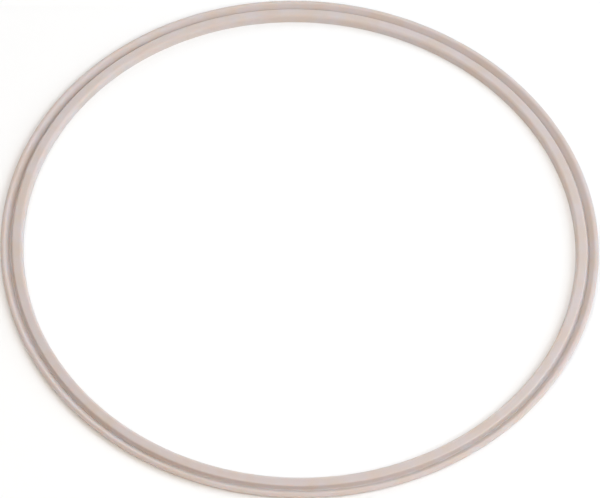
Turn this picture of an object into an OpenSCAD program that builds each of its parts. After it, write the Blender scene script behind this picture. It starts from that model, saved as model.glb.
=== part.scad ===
// Sealing ring of a stovetop pressure cooker: one moulded silicone ring, lying flat.
// The origin is at the centre of the flat underside, and +Z points up through the opening.
// Every height below is measured from the underside.

/* [Ring] */
// Outside diameter, over the upright land
outer_d = 240; // [200:1:280]
// Width of the band, from the land to the foot of the inner wall
band_w = 9.3; // [9:0.1:10.5]
// Rounding of the two edges of the underside
foot_r = 0.25; // [0.1:0.05:0.4]

/* [Inner bead] */
// Height of the bead's crest
bead_h = 3.3; // [3.1:0.05:3.6]
// Rounding over the crest
crest_r = 1.2; // [1:0.05:1.4]
// How far the inner wall leans outwards by the time it reaches the crest
bead_lean = 0.45; // [0:0.05:0.6]
// Height of the shoulder, where the bead's top ends over the groove
shoulder_h = 2.95; // [2.7:0.05:3.05]
// Rounding of the shoulder
shoulder_r = 0.7; // [0.4:0.05:0.8]
// Distance of the shoulder's outer side in from the land
shoulder_in = 4.55; // [4.4:0.05:4.7]

/* [Groove] */
// Height of the groove's floor
floor_h = 0.55; // [0.5:0.05:1]
// Rounding of the floor
floor_r = 0.35; // [0.2:0.05:0.4]
// Distance of the middle of the floor in from the land
groove_in = 3.9; // [3.7:0.05:3.95]

/* [Outer lip] */
// Height of the lip's crest
lip_h = 2.6; // [2.5:0.05:2.7]
// Rounding over the lip
lip_r = 1.1; // [0.9:0.05:1.15]
// Distance of the lip's crest in from the land
lip_in = 1.25; // [1.2:0.05:1.35]
// Height of the land's upper edge
land_top = 1.85; // [1.75:0.05:1.9]
// Height of the land itself, an upright face round the outside
land_h = 0.5; // [0.4:0.05:0.7]
// Rounding above and below the land
nose_r = 0.3; // [0.15:0.05:0.35]
// How far the outer wall draws in from the land to the underside
undercut = 0.55; // [0.3:0.05:0.6]

/* [Hidden] */

outer_r = outer_d / 2;
inner_r = outer_r - band_w;
silicone = [0.85, 0.80, 0.785];
ring_steps = 360;
arc_steps = 8;

// The section is a belt round these, each [radius from the axis, height, rounding].
// It runs from the inner foot up and outwards, and a negative rounding is a hollow.
rounds = [
    [inner_r + foot_r, foot_r, foot_r],
    [inner_r + bead_lean + crest_r, bead_h - crest_r, crest_r],
    [outer_r - shoulder_in - shoulder_r, shoulder_h - shoulder_r, shoulder_r],
    [outer_r - groove_in, floor_h + floor_r, -floor_r],
    [outer_r - lip_in, lip_h - lip_r, lip_r],
    [outer_r - nose_r, land_top, nose_r],
    [outer_r - nose_r, land_top - land_h, nose_r],
    [outer_r - undercut - foot_r, foot_r, foot_r]
];

// Direction in which the straight stretch between two rounds faces
function facing(a, b) =
    let (across = b[0] - a[0], up = b[1] - a[1])
    atan2(up, across) + acos((a[2] - b[2]) / norm([across, up]));

// Smallest turn from one direction to another, in degrees
function turn(from, to) = (to - from + 540) % 360 - 180;

// Points along a round, from the stretch before it to the stretch after it
function arc(before, round, after) =
    let (
        start = facing(before, round),
        sweep = turn(start, facing(round, after))
    )
    [for (i = [0:arc_steps])
        let (t = start + sweep * i / arc_steps)
        [round[0] + round[2] * cos(t), round[1] + round[2] * sin(t)]];

function belt(rounds) =
    let (n = len(rounds))
    [for (i = [0:n - 1])
        each arc(rounds[(i + n - 1) % n], rounds[i], rounds[(i + 1) % n])];

module sealing_ring() {
    color(silicone)
        rotate_extrude($fn = ring_steps)
            polygon(belt(rounds));
}

sealing_ring();
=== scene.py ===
import math

import bmesh
import bpy
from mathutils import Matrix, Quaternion, Vector


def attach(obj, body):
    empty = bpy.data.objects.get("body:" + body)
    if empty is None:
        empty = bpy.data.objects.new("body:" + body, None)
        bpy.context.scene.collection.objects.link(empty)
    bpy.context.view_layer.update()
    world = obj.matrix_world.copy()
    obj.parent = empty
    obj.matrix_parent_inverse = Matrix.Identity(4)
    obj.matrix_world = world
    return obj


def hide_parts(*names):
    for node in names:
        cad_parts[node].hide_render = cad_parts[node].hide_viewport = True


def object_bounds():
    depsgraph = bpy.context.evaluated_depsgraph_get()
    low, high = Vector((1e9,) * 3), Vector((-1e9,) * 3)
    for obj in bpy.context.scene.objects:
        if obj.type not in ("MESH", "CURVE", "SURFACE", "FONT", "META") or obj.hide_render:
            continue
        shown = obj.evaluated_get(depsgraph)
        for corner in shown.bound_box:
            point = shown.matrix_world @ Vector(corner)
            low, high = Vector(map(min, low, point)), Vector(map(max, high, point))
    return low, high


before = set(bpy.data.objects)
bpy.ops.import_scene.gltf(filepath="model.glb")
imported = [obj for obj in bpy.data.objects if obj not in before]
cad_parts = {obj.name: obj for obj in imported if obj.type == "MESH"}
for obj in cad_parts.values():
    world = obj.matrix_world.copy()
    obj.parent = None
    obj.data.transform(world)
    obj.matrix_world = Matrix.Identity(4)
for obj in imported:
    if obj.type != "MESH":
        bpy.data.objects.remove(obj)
cadLow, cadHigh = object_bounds()
nodeName = "sealing_ring"
print("frame loaded:", sorted(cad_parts))

mm = 0.001


def linearColor(hexText):
    parts = [int(hexText[i : i + 2], 16) / 255 for i in (1, 3, 5)]
    return [c / 12.92 if c <= 0.04045 else ((c + 0.055) / 1.055) ** 2.4 for c in parts] + [1.0]


def addNode(tree, kind, settings=None, links=None):
    node = tree.nodes.new(kind)
    for name, value in (settings or {}).items():
        if name in node.inputs:
            node.inputs[name].default_value = value
        else:
            setattr(node, name, value)
    for name, source in (links or {}).items():
        tree.links.new(source, node.inputs[name])
    return node


# Sizes in millimetres. Those that end in In are measured inwards from the outer land, heights go up from
# the underside. A soft ring never lies quite round: its lobes swell by a fraction of a millimetre.
ring = {
    "bandWidth": 9.3,
    "footRound": 0.25,
    "beadRound": 1.2,
    "beadLean": 0.45,
    "shoulderHeight": 2.95,
    "shoulderRound": 0.7,
    "shoulderIn": 4.55,
    "grooveHeight": 0.55,
    "grooveRound": 0.35,
    "grooveIn": 3.9,
    "lipHeight": 2.6,
    "lipRound": 1.1,
    "lipIn": 1.25,
    "landTop": 1.85,
    "landHeight": 0.5,
    "noseRound": 0.3,
    "undercut": 0.55,
    "stepLength": 0.2,
    "fineStep": 0.03,
    "leastArcParts": 3,
    "flashOut": 0.05,
    "flashWidth": 0.05,
    "turns": 640,
    "lobes": 3,
    "lobeSwell": 0.25,
    "lobePhase": -15,
}


# Each round is its distance from the axis, its height and its radius, which is negative in a hollow:
# inner foot, bead, shoulder, groove, lip, the land's two rounds and outer foot.
def sectionRounds(outer, height):
    s = ring
    inner = outer - s["bandWidth"]
    foot = s["footRound"]
    bead = s["beadRound"]
    shoulder = s["shoulderRound"]
    return [
        (inner + foot, foot, foot),
        (inner + s["beadLean"] + bead, height - bead, bead),
        (outer - s["shoulderIn"] - shoulder, s["shoulderHeight"] - shoulder, shoulder),
        (outer - s["grooveIn"], s["grooveHeight"] + s["grooveRound"], -s["grooveRound"]),
        (outer - s["lipIn"], s["lipHeight"] - s["lipRound"], s["lipRound"]),
        (outer - s["noseRound"], s["landTop"], s["noseRound"]),
        (outer - s["noseRound"], s["landTop"] - s["landHeight"], s["noseRound"]),
        (outer - s["undercut"] - foot, foot, foot),
    ]


# The way that the flat between two rounds faces.
def facing(a, b):
    across, up = b[0] - a[0], b[1] - a[1]
    return math.atan2(up, across) + math.acos((a[2] - b[2]) / math.hypot(across, up))


# A belt round the section's rounds, with points a step apart on arcs and flats alike. The land at the
# outside carries the thin line of flash that the two halves of the mould leave.
def sectionPoints(rounds):
    count = len(rounds)
    step = ring["stepLength"]
    land = max(range(count), key=lambda i: rounds[i][0] + rounds[i][2])
    flashHeight = (rounds[land][1] + rounds[land + 1][1]) / 2
    faces = [facing(rounds[i], rounds[(i + 1) % count]) for i in range(count)]
    points = []
    for i, (across, up, radius) in enumerate(rounds):
        sweep = (faces[i] - faces[i - 1] + 3 * math.pi) % (2 * math.pi) - math.pi
        parts = max(ring["leastArcParts"], math.ceil(abs(sweep * radius) / step))
        for k in range(parts + 1):
            t = faces[i - 1] + sweep * k / parts
            points.append((across + radius * math.cos(t), up + radius * math.sin(t)))
        nextAcross, nextUp, nextRadius = rounds[(i + 1) % count]
        end = (nextAcross + nextRadius * math.cos(faces[i]), nextUp + nextRadius * math.sin(faces[i]))
        start = points[-1]
        parts = max(1, math.ceil(math.dist(start, end) / (ring["fineStep"] if i == land else step)))
        for k in range(1, parts):
            f = k / parts
            flatAcross = start[0] + (end[0] - start[0]) * f
            flatUp = start[1] + (end[1] - start[1]) * f
            if i == land:
                away = (flatUp - flashHeight) / ring["flashWidth"]
                flatAcross += ring["flashOut"] * math.exp(-away * away)
            points.append((flatAcross, flatUp))
    return points


def buildRing():
    outer = cadHigh.x / mm
    height = cadHigh.z / mm
    points = sectionPoints(sectionRounds(outer, height))
    mesh = bmesh.new()
    loops = []
    for i in range(ring["turns"]):
        angle = 2 * math.pi * i / ring["turns"]
        swell = ring["lobeSwell"] * math.cos(ring["lobes"] * angle - math.radians(ring["lobePhase"]))
        loop = []
        for across, up in points:
            r = (across + swell) * mm
            loop.append(mesh.verts.new((r * math.cos(angle), r * math.sin(angle), up * mm)))
        loops.append(loop)
    for i, loop in enumerate(loops):
        after = loops[(i + 1) % len(loops)]
        for k in range(len(loop)):
            j = (k + 1) % len(loop)
            mesh.faces.new((loop[k], loop[j], after[j], after[k]))
    bmesh.ops.recalc_face_normals(mesh, faces=mesh.faces)
    for face in mesh.faces:
        face.smooth = True
    data = bpy.data.meshes.new("siliconeRing")
    mesh.to_mesh(data)
    mesh.free()
    piece = bpy.data.objects.new("siliconeRing", data)
    bpy.context.scene.collection.objects.link(piece)
    return piece


# Cured silicone rubber, pressed in a blasted steel mould: a soft satin skin that lets light in about a
# millimetre, so shaded sides turn warm instead of black. Patches of it are a little warmer from use. The
# blasted grain is really about a tenth of a millimetre, and is drawn coarser so that it shows.
silicone = {
    "color": "#ccc2c0",
    "warmColor": "#ccbfb7",
    "patchSize": 9.0,
    "patchEdges": (0.4, 0.62),
    "roughness": 0.42,
    "roughnessSpread": 0.12,
    "ior": 1.41,
    "depth": 1.2,
    "depthTint": (1.0, 0.68, 0.52),
    "grainSize": 0.3,
    "grainDepth": 0.02,
    "rippleSize": 3.5,
    "rippleDepth": 0.05,
}


def makeSilicone():
    s = silicone
    material = bpy.data.materials.new("mouldedSilicone")
    material.use_nodes = True
    tree = material.node_tree
    tree.nodes.clear()
    place = addNode(tree, "ShaderNodeTexCoord").outputs["Object"]
    patches = addNode(tree, "ShaderNodeTexNoise", {"Scale": 1 / (s["patchSize"] * mm), "Detail": 3.0},
                      {"Vector": place})
    grain = addNode(tree, "ShaderNodeTexNoise", {"Scale": 1 / (s["grainSize"] * mm), "Detail": 2.0},
                    {"Vector": place})
    ripple = addNode(tree, "ShaderNodeTexNoise", {"Scale": 1 / (s["rippleSize"] * mm), "Detail": 1.0},
                     {"Vector": place})
    # Sockets 6 and 7 are the two colours of the mix, and output 2 is the mixed colour.
    tone = addNode(tree, "ShaderNodeMix", {"data_type": "RGBA"})
    tone.inputs[6].default_value = linearColor(s["color"])
    tone.inputs[7].default_value = linearColor(s["warmColor"])
    edgeLow, edgeHigh = s["patchEdges"]
    contrast = addNode(tree, "ShaderNodeMapRange", {"From Min": edgeLow, "From Max": edgeHigh},
                       {"Value": patches.outputs["Fac"]})
    tree.links.new(contrast.outputs["Result"], tone.inputs["Factor"])
    satin = addNode(tree, "ShaderNodeMapRange", {
        "To Min": s["roughness"],
        "To Max": s["roughness"] + s["roughnessSpread"],
    }, {"Value": grain.outputs["Fac"]})
    waves = addNode(tree, "ShaderNodeBump", {"Distance": s["rippleDepth"] * mm},
                    {"Height": ripple.outputs["Fac"]})
    blast = addNode(tree, "ShaderNodeBump", {"Distance": s["grainDepth"] * mm},
                    {"Height": grain.outputs["Fac"], "Normal": waves.outputs["Normal"]})
    shader = addNode(tree, "ShaderNodeBsdfPrincipled", {
        "IOR": s["ior"],
        "Subsurface Weight": 1.0,
        "Subsurface Radius": s["depthTint"],
        "Subsurface Scale": s["depth"] * mm,
    }, {
        "Base Color": tone.outputs[2],
        "Roughness": satin.outputs["Result"],
        "Normal": blast.outputs["Normal"],
    })
    addNode(tree, "ShaderNodeOutputMaterial", links={"Surface": shader.outputs["BSDF"]})
    return material


piece = buildRing()
piece.data.materials.append(makeSilicone())
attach(piece, "root")
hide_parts(nodeName)
print("ring built:", len(piece.data.polygons), "faces")

# A plain sheet of matt white paper, which lightens the ring's lower edges.
floorLook = {"color": "#f5f5f5", "roughness": 0.8, "halfWidth": 3.0}


def makeFloor():
    half = floorLook["halfWidth"]
    data = bpy.data.meshes.new("floor")
    corners = [(-half, -half, 0), (half, -half, 0), (half, half, 0), (-half, half, 0)]
    data.from_pydata(corners, [], [(0, 1, 2, 3)])
    floor = bpy.data.objects.new("floor", data)
    bpy.context.scene.collection.objects.link(floor)
    floor.location.z = cadLow.z
    material = bpy.data.materials.new("paleSheet")
    material.use_nodes = True
    shader = material.node_tree.nodes["Principled BSDF"]
    shader.inputs["Base Color"].default_value = linearColor(floorLook["color"])
    shader.inputs["Roughness"].default_value = floorLook["roughness"]
    data.materials.append(material)


makeFloor()
print("floor laid")

# A long lens from well away, looking down at the ring. The frame is as wide as frameWidth, in metres, at
# the ring, and its middle lies aside and above, in metres, from the ring's own.
camera = {
    "lens": 1200,
    "sensor": 36,
    "elevation": 56.0,
    "roll": 2.04,
    "frameWidth": 0.24061,
    "aside": 0.00037,
    "above": -0.00063,
    "farthest": 50,
}


def makeCamera():
    data = bpy.data.cameras.new("camera")
    data.lens = camera["lens"]
    data.sensor_width = camera["sensor"]
    eye = bpy.data.objects.new("camera", data)
    bpy.context.scene.collection.objects.link(eye)
    e = math.radians(camera["elevation"])
    back = Vector((0, -math.cos(e), math.sin(e)))
    turn = (-back).to_track_quat("-Z", "Y") @ Quaternion((0, 0, 1), math.radians(camera["roll"]))
    centre = Vector((0, 0, (cadLow.z + cadHigh.z) / 2))
    aim = centre + turn @ Vector((camera["aside"], camera["above"], 0))
    eye.location = aim + back * camera["frameWidth"] * camera["lens"] / camera["sensor"]
    eye.rotation_mode = "QUATERNION"
    eye.rotation_quaternion = turn
    data.clip_end = camera["farthest"]
    bpy.context.scene.camera = eye


makeCamera()

# Square soft boxes round the ring, by azimuth (0 is +X, anticlockwise from above) and elevation: cool
# daylight from the right, a second from behind and warmer room light from the near side. Sizes and
# distance are in metres.
lamps = {
    "key": {"azimuth": -5, "elevation": 33, "size": 1.5, "watts": 26.0, "color": "#ebf6ff"},
    "far": {"azimuth": 110, "elevation": 35, "size": 1.2, "watts": 11.7, "color": "#ffffff"},
    "near": {"azimuth": 228, "elevation": 47, "size": 1.2, "watts": 9.5, "color": "#fff9f0"},
    "front": {"azimuth": 290, "elevation": 50, "size": 1.0, "watts": 6.9, "color": "#ffebdb"},
    "top": {"azimuth": 0, "elevation": 89, "size": 1.2, "watts": 3.9, "color": "#ffffff"},
}
lampDistance = 1.6


def makeLamps():
    for name, lamp in lamps.items():
        data = bpy.data.lights.new(name, "AREA")
        data.shape = "SQUARE"
        data.size = lamp["size"]
        data.energy = lamp["watts"]
        data.color = linearColor(lamp["color"])[:3]
        box = bpy.data.objects.new(name, data)
        bpy.context.scene.collection.objects.link(box)
        a, e = math.radians(lamp["azimuth"]), math.radians(lamp["elevation"])
        away = Vector((math.cos(a) * math.cos(e), math.sin(a) * math.cos(e), math.sin(e)))
        box.location = away * lampDistance
        box.rotation_mode = "QUATERNION"
        box.rotation_quaternion = away.to_track_quat("Z", "Y")
        box.visible_camera = False
    # The soft boxes give all the light.
    world = bpy.data.worlds.new("darkRoom")
    world.use_nodes = True
    world.node_tree.nodes["Background"].inputs["Strength"].default_value = 0.0
    bpy.context.scene.world = world


makeLamps()
print("camera and", len(lamps), "soft boxes placed")
bpy.context.scene.view_settings.view_transform = "Standard"

print("scene ready")
